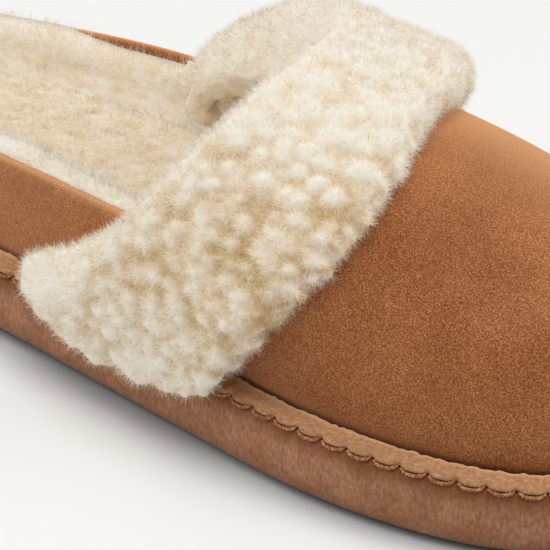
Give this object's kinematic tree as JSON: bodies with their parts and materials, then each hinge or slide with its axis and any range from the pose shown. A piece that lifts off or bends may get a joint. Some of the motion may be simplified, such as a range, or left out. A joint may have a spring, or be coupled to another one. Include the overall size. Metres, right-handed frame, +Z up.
{
  "type": "mule slipper",
  "caption": "Backless house slipper for the right foot: closed suede toe, wide turned-back fleece cuff, low heel wall, fleece footbed, stitched welt and a thick suede-wrapped platform sole.",
  "frame": {"origin": "on the floor, under the middle of the whole slipper's box", "axes": "+X towards the toe, +Y towards the inner (medial) side of the foot, +Z up"},
  "size_m": [0.266, 0.1076, 0.0813],
  "materials": {
    "sole_suede": "brushed suede",
    "welt_leather": "rough-cut leather",
    "upper_suede": "suede",
    "footbed_fleece": "short fleece",
    "cuff_fleece": "long curly fleece"
  },
  "bodies": {
    "root": {"sole": "sole_suede", "welt": "welt_leather", "upper": "upper_suede", "insole": "footbed_fleece", "cuff": "cuff_fleece"}
  },
  "joints": []
}
